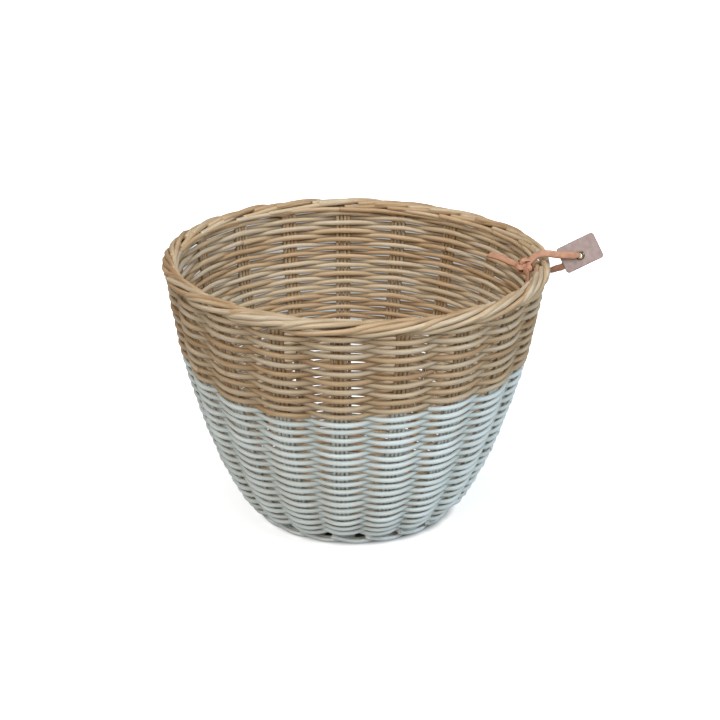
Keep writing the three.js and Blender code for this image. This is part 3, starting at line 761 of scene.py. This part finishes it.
rods = Rods()
turns = (COIL_RADIUS - COIL_START) / COIL_PITCH
t = np.linspace(0, turns, int(turns * COIL_SECTIONS_PER_TURN))
ripple = COIL_RIPPLE * np.sin(COIL_RIBS * math.pi * t)
rods.add(around(360 * t, COIL_START + COIL_PITCH * t, BASE_LEVEL + COIL_RISE + ripple), COIL_ROD_RADIUS)
rods.finish("base_coil", "base_mat")


# Leather: one flat lace from tail to tail, knotted inside the rim, with a tag on its loop

LACE_WIDTH = 6.0
LACE_THICKNESS = 1.8
LACE_STAKE = 5
LACE_BEFORE_STAKE = 12.5
LACE_ANGLE = stake_angle(LACE_STAKE) - math.degrees(LACE_BEFORE_STAKE / RIM_RADIUS)
OUTWARDS = around(LACE_ANGLE, 1.0, 0.0)
SIDEWAYS = around(LACE_ANGLE, 0.0, 0.0, 1.0)
UPWARDS = np.array([0.0, 0.0, 1.0])
BAND_SECTION = np.array([
    (0.5, -0.22), (0.5, 0.22), (0.44, 0.5), (0.16, 0.52), (-0.16, 0.52), (-0.44, 0.5),
    (-0.5, 0.22), (-0.5, -0.22), (-0.44, -0.5), (-0.16, -0.52), (0.16, -0.52), (0.44, -0.5),
])
BAND_SIDES_FROM = 0.45
BAND_SIDES_LOOK_CUT = 0.8
BAND_ENDS_LOOK_CUT = 0.9
BAND_STEP = 1.1
# The line's steps are measured in millimetres, and turns of the face and changes of size count as these
TURN_COUNTS_AS = 4
SHARE_COUNTS_AS = 6
LACE_OFF_TAG = 2.2
KNOT_PLACE = (-12.4, -2.0, 12.2)
KNOT_RING = 4.1
KNOT_LOOP = 2.2
KNOT_DEPTH = 2.9
KNOT_STRETCH = 1.15
KNOT_SECTIONS = 46
KNOT_OPEN = 0.12
KNOT_SHARE = 0.8
KNOT_STEP = 0.9
TAG_LEAN = 19.5
TAG_ROLL = 27.5
TAG_LENGTH = 34.0
TAG_WIDTH = 23.1
TAG_THICKNESS = 2.2
TAG_CORNER = 2.6
TAG_CURL = 0.9
TAG_CURL_ALONG = 0.6
TAG_CURL_ACROSS = 0.5
TAG_FLAT_WITHIN = 3.5
TAG_CURLS_OVER = 5
TAG_RIM_POINTS = 96
EYELET_PLACE = (33.5, 0.0, 22.6)
EYELET_IN_TAG = (-1.0, -2.0)
EYELET_HOLE = 2.8
EYELET_SIDES = 56


def at_rim(place):
    """A place at the lace: out from the wall's top, sideways and up."""
    out, side, up = place
    return around(LACE_ANGLE, RIM_RADIUS + out, WALL_TOP_LEVEL + up, side)


def way(out, side, up):
    """A direction at the lace."""
    return unit(out * OUTWARDS + side * SIDEWAYS + up * UPWARDS)


def leather_material(name, colours, edge_colour, roughness, bump):
    """Leather with blotches and pores, and a darker cut edge where the mesh says."""
    n = Nodes(name)
    grain = n.attribute("grain", vector=True)
    blotches = n.noise(grain, 0.22, 3.0)
    pores = n.noise(grain, 1.6, 3.0, 0.65)
    tone = n.math("ADD", n.math("MULTIPLY", blotches, 0.7), n.math("MULTIPLY", pores, 0.3))
    face = n.ramp(tone, [(0.3, colours[0]), (0.5, colours[1]), (0.72, colours[2])])
    n.link(n.mix(n.attribute("edge"), face, edge_colour), "Base Color")
    n.shader.inputs["Roughness"].default_value = roughness
    n.shader.inputs["Specular IOR Level"].default_value = 0.35
    n.bump(pores, bump, 0.7)
    return n.material


LACE_LEATHER = leather_material(
    "lace_leather", ((0.37, 0.17, 0.095), (0.46, 0.235, 0.145), (0.53, 0.30, 0.20)),
    (0.27, 0.105, 0.055), 0.5, 0.0001)
TAG_LEATHER = leather_material(
    "tag_leather", ((0.30, 0.215, 0.195), (0.37, 0.27, 0.25), (0.44, 0.33, 0.31)),
    (0.13, 0.08, 0.065), 0.7, 0.00016)


def band(name, points, ways, shares, step=BAND_STEP, slant=0.0):
    """A flat lace through points, with the ways its face looks there and its shares of the full size.

    The slant is how much further its first end reaches on one side than on the other.
    """
    turns = TURN_COUNTS_AS * np.asarray(ways)
    sizes = SHARE_COUNTS_AS * np.asarray(shares, float)[:, None]
    line = smooth_line(np.hstack([points, turns, sizes]), step)
    centre, face, share = line[:, :3], line[:, 3:6], line[:, 6] / SHARE_COUNTS_AS
    tangent = unit(np.gradient(centre, axis=0))
    face = unit(face - tangent * np.sum(face * tangent, 1, keepdims=True))
    across = np.cross(tangent, face)
    count, sides = len(centre), len(BAND_SECTION)
    wide = BAND_SECTION[None, :, :1] * across[:, None] * (LACE_WIDTH * share)[:, None, None]
    thick = BAND_SECTION[None, :, 1:] * face[:, None] * (LACE_THICKNESS * np.sqrt(share))[:, None, None]
    shell = centre[:, None] + wide + thick
    run = run_along(centre)
    grain = np.stack(np.broadcast_arrays(
        BAND_SECTION[None, :, 0] * LACE_WIDTH, BAND_SECTION[None, :, 1] * LACE_THICKNESS, run[:, None]), -1)
    on_side = np.abs(BAND_SECTION[:, 0]) > BAND_SIDES_FROM
    edge = np.broadcast_to(np.where(on_side, BAND_SIDES_LOOK_CUT, 0.0), (count, sides))
    faces = faces_between(count, sides).tolist()
    points, grains, edges = [shell.reshape(-1, 3)], [grain.reshape(-1, 3)], [edge.ravel()]
    for index, (end, order) in enumerate(((0, 1), (count - 1, -1))):
        first = count * sides + index * sides
        points.append(shell[end])
        grains.append(grain[end])
        edges.append(np.full(sides, BAND_ENDS_LOOK_CUT))
        faces.append([first + side for side in range(sides)][::order])
    points = np.vstack(points)
    points[np.r_[:sides, count * sides:count * sides + sides]] += np.tile(
        tangent[0] * (0.5 - BAND_SECTION[:, :1]) * slant, (2, 1))
    thing = mesh_object(name, points, faces, LACE_LEATHER,
                        {"grain": np.vstack(grains), "edge": np.concatenate(edges)})
    return thing, centre, run[-1]


def lace_line():
    """The lace's places from tail to tail, the ways its face looks there and its shares of the full size."""
    tag_face = tag_axes()[2]
    rise = TAG_THICKNESS / 2 + LACE_OFF_TAG
    up, back = UPWARDS, -tag_face

    def near(face, out):
        """A place near the eyelet: off the tag's face, and outwards."""
        return at_rim(EYELET_PLACE) + tag_face * face + OUTWARDS * out

    places = [
        (at_rim((-43.8, 21.0, 14.0)), way(0.3, -0.75, 0.6), 1),
        (at_rim((-38.5, 16.4, 14.6)), way(0.3, -0.75, 0.6), 1),
        (at_rim((-32, 11.2, 14.4)), way(0.25, -0.75, 0.65), 1),
        (at_rim((-24, 4.8, 13.2)), way(0.1, -0.75, 0.65), 0.95),
        (at_rim((-17, -0.4, 12.6)), way(-0.1, -0.75, 0.65), 0.8),
        (at_rim((-11.4, -2.4, 13.6)), way(-0.35, -0.75, 0.6), 0.85),
        (at_rim((-7.8, -1.2, 17.2)), way(-0.35, -0.8, 0.5), 1),
        (at_rim((-3.4, -0.5, 21.4)), way(-0.2, -0.82, 0.55), 1),
        (at_rim((1.8, -0.4, 23.2)), way(0, -0.85, 0.5), 1),
        (at_rim((8.5, -0.6, 23.6)), unit(tag_face + 0.3 * up), 1),
        (near(rise, -18.5), unit(tag_face + 0.35 * up), 1),
        (near(rise, -11), tag_face, 1),
        (near(rise, -5), tag_face, 1),
        (near(rise - 0.3, -2.2), unit(tag_face + 0.5 * OUTWARDS), 0.68),
        (near(rise - 1.7, -0.3), unit(tag_face + 3 * OUTWARDS), 0.52),
        (near(0, 0.1), OUTWARDS, 0.5),
        (near(1.7 - rise, -0.3), unit(back + 3 * OUTWARDS), 0.52),
        (near(0.3 - rise, -2.2), unit(back + 0.5 * OUTWARDS), 0.68),
        (near(-rise, -5), back, 0.95),
        (at_rim((20.4, 4.6, 11.4)), back, 0.95),
        (at_rim((14.6, 5.4, 8.8)), unit(back + 0.3 * up), 0.95),
        (at_rim((10.0, 4.8, 7.2)), unit(back + 0.7 * up), 0.95),
        (at_rim((5.4, 3.0, 7.4)), unit(0.4 * back + up), 0.95),
        (at_rim((0.0, 1.0, 8.4)), up, 0.9),
        (at_rim((-5.0, -0.4, 9.0)), up, 0.9),
        (at_rim((-9.4, -1.6, 9.8)), way(-0.4, 0.2, 0.9), 0.85),
        (at_rim((-12.6, -4.4, 11.2)), way(-0.9, 0.1, 0.3), 0.8),
        (at_rim((-11.0, -8.6, 10.6)), way(-0.85, 0, 0.5), 0.85),
        (at_rim((-9.4, -12.0, 6.8)), way(-0.85, -0.2, 0.45), 0.95),
        (at_rim((-10.2, -14.6, 1.8)), way(-0.9, -0.3, 0.2), 1),
        (at_rim((-12.8, -17.0, -3.4)), way(-0.9, -0.3, 0.1), 1),
        (at_rim((-14.6, -18.6, -8)), way(-0.95, -0.2, 0.0), 1),
    ]
    points, ways, shares = (np.array(column) for column in zip(*places))
    return points, ways, shares


def knot_band():
    """Two strands pulled into a knot: the lace goes three times round its own loop."""
    axis = way(-0.15, -0.75, 0.65)
    long = unit(np.cross(axis, way(0.42, 0.35, 1.0)))
    tall = np.cross(axis, long)
    turn = np.linspace(KNOT_OPEN, 2 * math.pi - KNOT_OPEN, KNOT_SECTIONS)
    flat = KNOT_RING + KNOT_LOOP * np.cos(3 * turn)
    middle = at_rim(KNOT_PLACE)
    points = (middle + KNOT_STRETCH * (flat * np.cos(2 * turn))[:, None] * long
              + (flat * np.sin(2 * turn))[:, None] * tall + (KNOT_DEPTH * np.sin(3 * turn))[:, None] * axis)
    ways = ((np.cos(3 * turn) * np.cos(2 * turn))[:, None] * long
            + (np.cos(3 * turn) * np.sin(2 * turn))[:, None] * tall + np.sin(3 * turn)[:, None] * axis)
    return band("knot_wraps", points, ways, np.full(len(turn), KNOT_SHARE), KNOT_STEP)[0]


def tag_axes():
    """The directions of the tag's length, its width and its face."""
    lean, roll = math.radians(TAG_LEAN), math.radians(TAG_ROLL)
    face = -math.cos(lean) * SIDEWAYS + math.sin(lean) * UPWARDS
    length = OUTWARDS * math.cos(roll) + np.cross(face, OUTWARDS) * math.sin(roll)
    return length, np.cross(face, length), face


def tag_plate():
    """The tag with rounded edges and a slight curl, round its eyelet's hole."""
    length, across, face = tag_axes()
    x, y, corner = TAG_LENGTH / 2, TAG_WIDTH / 2, TAG_CORNER
    border_line = []
    for cx, cy, start in ((x, y, 0), (-x, y, 90), (-x, -y, 180), (x, -y, 270)):
        for turned in np.linspace(start, start + 90, 7):
            turn = math.radians(turned)
            border_line.append((cx - math.copysign(corner, cx) + corner * math.cos(turn),
                                cy - math.copysign(corner, cy) + corner * math.sin(turn)))
    closed = np.array(border_line + border_line[:1])
    run = run_along(closed)
    even = np.linspace(0, run[-1], TAG_RIM_POINTS + 1)[:-1]
    rim = np.stack([np.interp(even, run, closed[:, i]) for i in (0, 1)], -1)
    hole_middle = np.array(EYELET_IN_TAG)
    bearing = np.arctan2(rim[:, 1] - hole_middle[1], rim[:, 0] - hole_middle[0])
    hole = hole_middle + EYELET_HOLE * np.stack([np.cos(bearing), np.sin(bearing)], -1)
    half = TAG_THICKNESS / 2
    rings = [(0.0, 0.0, half - 0.3), (0.02, 0.0, half)]
    rings += [(share, 0.0, half) for share in (0.15, 0.3, 0.45, 0.6, 0.75, 0.88)]
    rings += [(1.0, -0.75, half), (1.0, -0.3, half - 0.18), (1.0, -0.05, half - 0.5)]
    rings += [(share, inset, -level) for share, inset, level in reversed(rings)]
    inward = rim - rim.mean(0)
    inward = inward / np.linalg.norm(inward, axis=1, keepdims=True)
    points, edges = [], []
    for share, inset, level in rings:
        flat = hole + (rim - hole) * share + inward * inset
        curl = TAG_CURL * ((flat[:, 0] / x) ** 2 * np.sign(flat[:, 0]) * TAG_CURL_ALONG
                           - (flat[:, 1] / y) ** 2 * TAG_CURL_ACROSS)
        from_hole = np.linalg.norm(flat - hole_middle, axis=1)
        curled = np.clip((from_hole - TAG_FLAT_WITHIN) / TAG_CURLS_OVER, 0, 1)
        points.append(np.column_stack([flat, level + curl * curled]))
        edges.append(np.full(len(rim), 1.0 if abs(level) < half - 0.1 else 0.0))
    local = np.vstack(points) - [*EYELET_IN_TAG, 0]
    faces = faces_between(len(rings), len(rim), closed=True).tolist()
    world = at_rim(EYELET_PLACE) + local @ np.stack([length, across, face])
    return mesh_object("leather_tag", world, faces, TAG_LEATHER,
                       {"grain": local, "edge": np.concatenate(edges)})


def eyelet_ring():
    """A brass eyelet, rolled over on both faces of the tag."""
    half = TAG_THICKNESS / 2
    front = [(1.8, 0), (1.8, half + 0.1), (1.95, half + 0.6), (2.45, half + 0.95), (3.1, half + 0.9),
             (3.7, half + 0.5), (3.95, half + 0.1), (3.6, half), (2.7, half - 0.2)]
    profile = np.array(front + [(radius, -level) for radius, level in reversed(front[1:])])
    turns = 2 * math.pi * np.arange(EYELET_SIDES) / EYELET_SIDES
    local = np.stack([
        profile[:, :1] * np.cos(turns), profile[:, :1] * np.sin(turns),
        np.broadcast_to(profile[:, 1:], (len(profile), EYELET_SIDES))], -1).reshape(-1, 3)
    faces = faces_between(len(profile), EYELET_SIDES, closed=True).tolist()
    world = at_rim(EYELET_PLACE) + local @ np.stack(tag_axes())
    n = Nodes("brass")
    tarnish = n.noise(n.attribute("grain", vector=True), 0.9, 3.0)
    n.link(n.ramp(tarnish, [(0.35, (0.09, 0.06, 0.03)), (0.65, (0.36, 0.27, 0.13))]), "Base Color")
    n.shader.inputs["Metallic"].default_value = 1.0
    n.shader.inputs["Roughness"].default_value = 0.34
    return mesh_object("brass_eyelet", world, faces, n.material, {"grain": local})


lace_piece, lace_centre, lace_length = band("leather_lace", *lace_line(), slant=4.0)
tuple(at_rim((0, 0, 0)) * MM)
tuple(at_rim((11, 0, 0)) * MM)
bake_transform(lace_piece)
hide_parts("lace_over_rim", "lace_loop", "lace_under_border",
            "lace_tail_upper", "lace_tail_lower")
knot_piece = knot_band()
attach(knot_piece, "basket")
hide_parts("lace_knot")
tag_piece = tag_plate()
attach(tag_piece, "tag")
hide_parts("tag")
eyelet_piece = eyelet_ring()
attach(eyelet_piece, "tag")
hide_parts("eyelet")
tuple(at_rim(KNOT_PLACE) * MM)


# Camera, light and floor

PICTURE_SIZE = 720
CAMERA_LOOKS_DOWN = 19.5
CAMERA_DISTANCE = 1650.0
RIM_SCALE = 0.85
RIM_MIDDLE = (0, 0, 225.8)
RIM_MIDDLE_IN_PICTURE = (356.3, 260.3)
SENSOR_WIDTH = 36
WHITE = (1, 1, 1, 1)
WORLD_LIGHT = 0.3
FLOOR_HALF_SIZE = 6.0
FLOOR_DROP = -0.0003
LAMPS_LOOK_AT = (0, 0, 0.12)
# The floor that the basket hides from the camera: metres behind its middle, and half the width there
HIDDEN_WIDTHS = (
    (0.0, 0.0), (0.01, 0.086), (0.2, 0.164), (0.6, 0.232), (0.66, 0.229), (0.72, 0.2),
    (0.785, 0.143), (0.84, 0.09), (0.88, 0.0),
)
# In metres: the painted shadow is fully grey this far inside the hidden floor's edge, beyond this distance
# behind the basket's middle, and within this radius of it
GREY_INSIDE_HIDDEN = 0.024
GREY_SHARPNESS = 58.0
GREY_BEYOND = 0.42
GREY_BEYOND_SHARPNESS = 9.0
GREY_UNDER_BASE = 0.080
GREY_UNDER_BASE_SHARPNESS = 100.0
# Painted shadow: its grey, and the dim glow that it shows the camera behind the basket; then the open
# floor's colour
PAINTED_SHADOW_GREY = (0.21, 0.22, 0.205)
PAINTED_SHADOW_GLOW = 0.28
PALE_FLOOR = (0.45, 0.45, 0.45)


def add_camera():
    """The camera, at the photograph's viewing angle and scale."""
    down = math.radians(CAMERA_LOOKS_DOWN)
    forward = Vector((0, math.cos(down), -math.sin(down)))
    place = Vector(RIM_MIDDLE) - forward * CAMERA_DISTANCE
    lens = CAMERA_DISTANCE / RIM_SCALE
    right = Vector((1, 0, 0))
    up = right.cross(forward)
    beside, above = ((PICTURE_SIZE / 2 - seen_at) / lens for seen_at in RIM_MIDDLE_IN_PICTURE)
    aim = (forward + right * beside - up * above).normalized()
    camera = bpy.data.objects.new("camera", bpy.data.cameras.new("camera"))
    camera.data.sensor_width = SENSOR_WIDTH
    camera.data.lens = SENSOR_WIDTH * lens / PICTURE_SIZE
    camera.data.clip_end = 100
    camera.location = place * MM
    camera.rotation_euler = aim.to_track_quat("-Z", "Y").to_euler()
    bpy.context.scene.collection.objects.link(camera)
    bpy.context.scene.camera = camera


def add_world():
    """Soft light from all round, with a white background for the camera."""
    world = bpy.data.worlds.new("world")
    bpy.context.scene.world = world
    world.use_nodes = True
    tree = world.node_tree
    light = tree.nodes["Background"]
    light.inputs["Color"].default_value = WHITE
    light.inputs["Strength"].default_value = WORLD_LIGHT
    background = tree.nodes.new("ShaderNodeBackground")
    background.inputs["Color"].default_value = WHITE
    background.inputs["Strength"].default_value = 1.0
    path = tree.nodes.new("ShaderNodeLightPath")
    share = tree.nodes.new("ShaderNodeMixShader")
    tree.links.new(path.outputs["Is Camera Ray"], share.inputs[0])
    tree.links.new(light.outputs[0], share.inputs[1])
    tree.links.new(background.outputs[0], share.inputs[2])
    tree.links.new(share.outputs[0], tree.nodes["World Output"].inputs["Surface"])


def floor_material():
    """A plain pale floor that keeps the basket's shadow.

    It is painted a shadow grey under the base, on top of its real shadow there, and far behind the basket,
    where the basket hides it from the camera, so that the chinks between the rods look dark.
    """
    n = Nodes("floor")
    place = n.node("ShaderNodeTexCoord").outputs["Object"]
    parts = n.node("ShaderNodeSeparateXYZ", {0: place}).outputs
    # Painted shadow mask: pale is 0 where the floor is painted grey, inside the hidden floor and under the
    # base
    hidden = n.ramp(parts["Y"], [(behind, (width, width, width)) for behind, width in HIDDEN_WIDTHS])
    beside = n.math("SUBTRACT", n.math("ABSOLUTE", parts["X"]), hidden)
    pale = n.rise(beside, -GREY_INSIDE_HIDDEN, GREY_SHARPNESS)
    pale = n.math("MAXIMUM", pale, n.rise(parts["Y"], GREY_BEYOND, -GREY_BEYOND_SHARPNESS))
    from_centre = n.node("ShaderNodeVectorMath", {0: place}, operation="LENGTH").outputs["Value"]
    pale = n.math("MINIMUM", pale, n.rise(from_centre, GREY_UNDER_BASE, GREY_UNDER_BASE_SHARPNESS))
    n.link(n.mix(pale, PAINTED_SHADOW_GREY, PALE_FLOOR), "Base Color")
    n.shader.inputs["Roughness"].default_value = 0.9
    n.shader.inputs["Emission Color"].default_value = WHITE
    away = n.math("ADD", n.math("MULTIPLY", n.rise(from_centre, 0.12, 2.5), 0.5), 0.75)
    # Behind the basket the painted shadow keeps a dim glow for the camera
    grey = n.math("MULTIPLY", n.rise(parts["Y"], 0.06, 4.0), n.math("SUBTRACT", 1.0, pale))
    glow = n.math("ADD", n.math("MULTIPLY", away, pale), n.math("MULTIPLY", grey, PAINTED_SHADOW_GLOW))
    seen = n.node("ShaderNodeLightPath").outputs["Is Camera Ray"]
    n.link(n.math("MULTIPLY", glow, seen), "Emission Strength")
    return n.material


def add_floor():
    """The floor, just under the basket's foot."""
    half = FLOOR_HALF_SIZE
    corners = [(-half, -half, 0), (half, -half, 0), (half, half, 0), (-half, half, 0)]
    mesh = bpy.data.meshes.new("floor")
    mesh.from_pydata(corners, [], [(0, 1, 2, 3)])
    floor = bpy.data.objects.new("floor", mesh)
    floor.location.z = FLOOR_DROP
    bpy.context.scene.collection.objects.link(floor)
    mesh.materials.append(floor_material())


def add_lamp(name, at, size, power, colour):
    """A round lamp, in metres and watts, that looks at the basket's middle."""
    light = bpy.data.lights.new(name, "AREA")
    light.shape = "DISK"
    light.size = size
    light.energy = power
    light.color = colour
    lamp = bpy.data.objects.new(name, light)
    lamp.location = at
    lamp.rotation_euler = (Vector(LAMPS_LOOK_AT) - Vector(at)).to_track_quat("-Z", "Y").to_euler()
    bpy.context.scene.collection.objects.link(lamp)


bpy.context.scene.view_settings.view_transform = "Standard"
add_camera()
add_world()
add_floor()
add_lamp("overhead", (-0.2, -0.45, 1.9), 1.2, 17, (0.95, 0.97, 1.0))
add_lamp("front", (-0.9, -1.8, 1.6), 1.2, 24, (1, 0.965, 0.89))
add_lamp("right", (1.6, -0.9, 1.35), 1.1, 27, (0.76, 0.9, 1.0))
